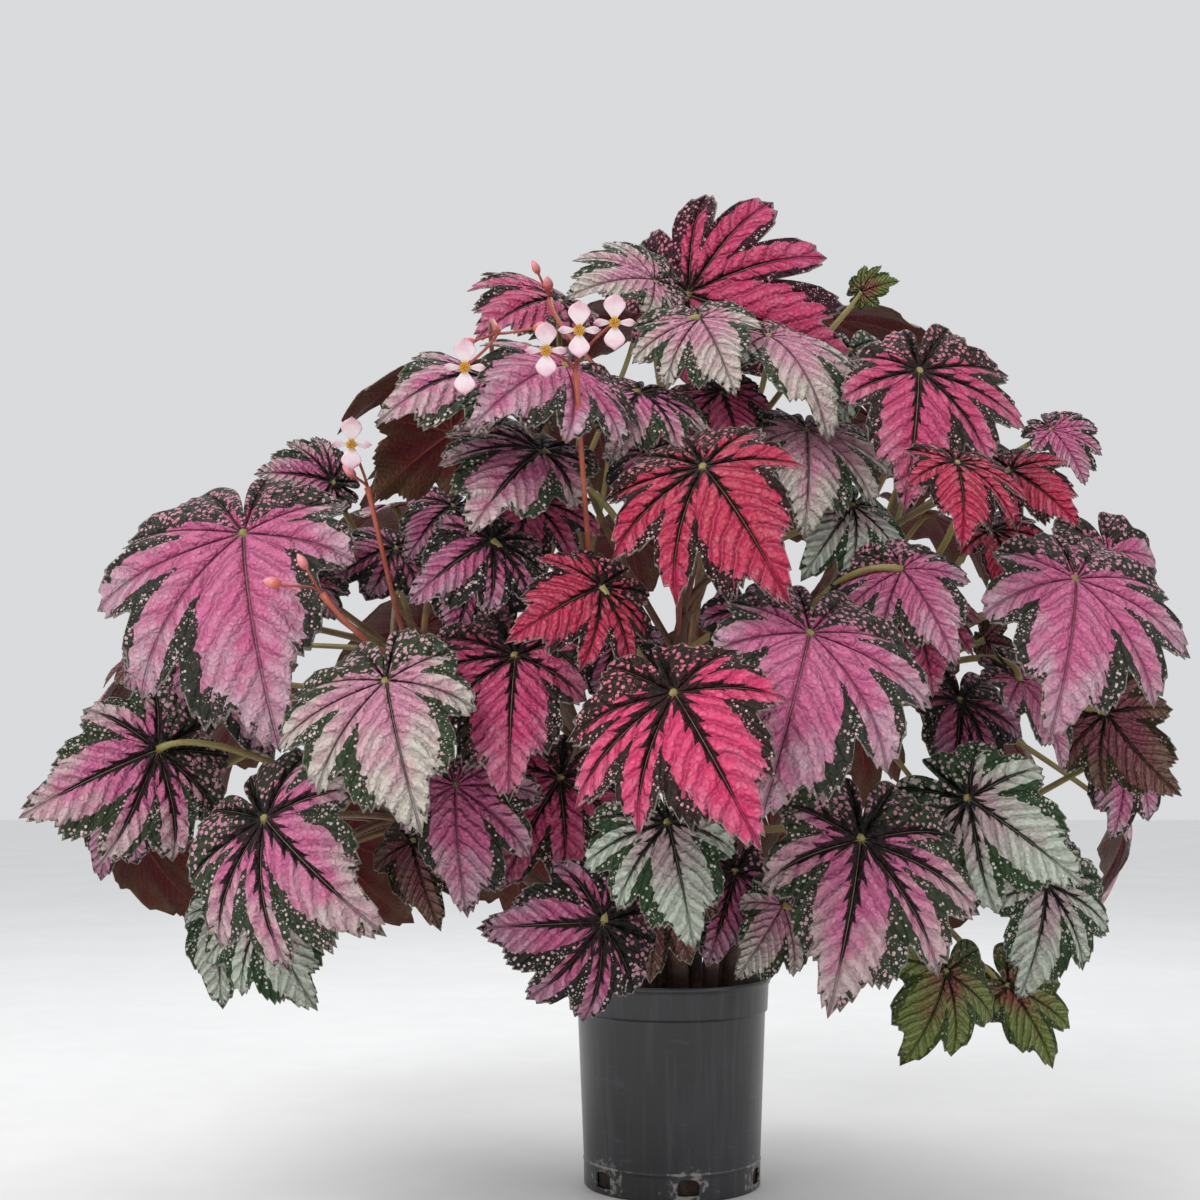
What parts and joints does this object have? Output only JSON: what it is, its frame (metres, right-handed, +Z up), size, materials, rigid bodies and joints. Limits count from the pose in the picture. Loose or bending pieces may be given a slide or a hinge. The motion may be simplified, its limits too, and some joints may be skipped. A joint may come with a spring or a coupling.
{
  "type": "potted rex begonia",
  "caption": "Bushy rex begonia in a black nursery pot: a dome of lobed pink, silver and dark green leaves on long petioles, with small pale flowers.",
  "frame": {"origin": "middle of the pot's underside, where it rests", "axes": "+Z up, -Y towards the viewer of the reference view, +X to the right of that view"},
  "size_m": [0.9081, 0.8202, 0.8156],
  "materials": {
    "pot_plastic": "satin",
    "soil": "matte",
    "leaf_orchid": "satin",
    "leaf_rose": "satin",
    "leaf_silver": "satin",
    "leaf_olive": "satin",
    "petiole": "satin",
    "stem": "satin",
    "petal": "satin"
  },
  "bodies": {
    "root": {"pot": "pot_plastic", "soil": "soil", "stem_left_low": "leaf_orchid", "stem_left": "leaf_orchid", "stem_left_shoulder": "leaf_rose", "stem_crown_left": "leaf_orchid", "stem_crown": "leaf_rose", "stem_crown_right": "leaf_rose", "stem_upper_front": "leaf_rose", "stem_right": "leaf_orchid", "stem_right_low": "leaf_silver", "stem_front_right": "leaf_orchid", "stem_front_low": "leaf_silver", "stem_front": "leaf_rose", "stem_back_1": "leaf_orchid", "stem_back_2": "leaf_silver", "stem_back_3": "leaf_rose", "stem_back_4": "leaf_orchid", "stem_back_5": "leaf_orchid", "stem_back_6": "leaf_silver", "flower_1": "petal", "flower_2": "petal", "flower_3": "petal", "flower_4": "petal", "flower_5": "petal"}
  },
  "joints": []
}
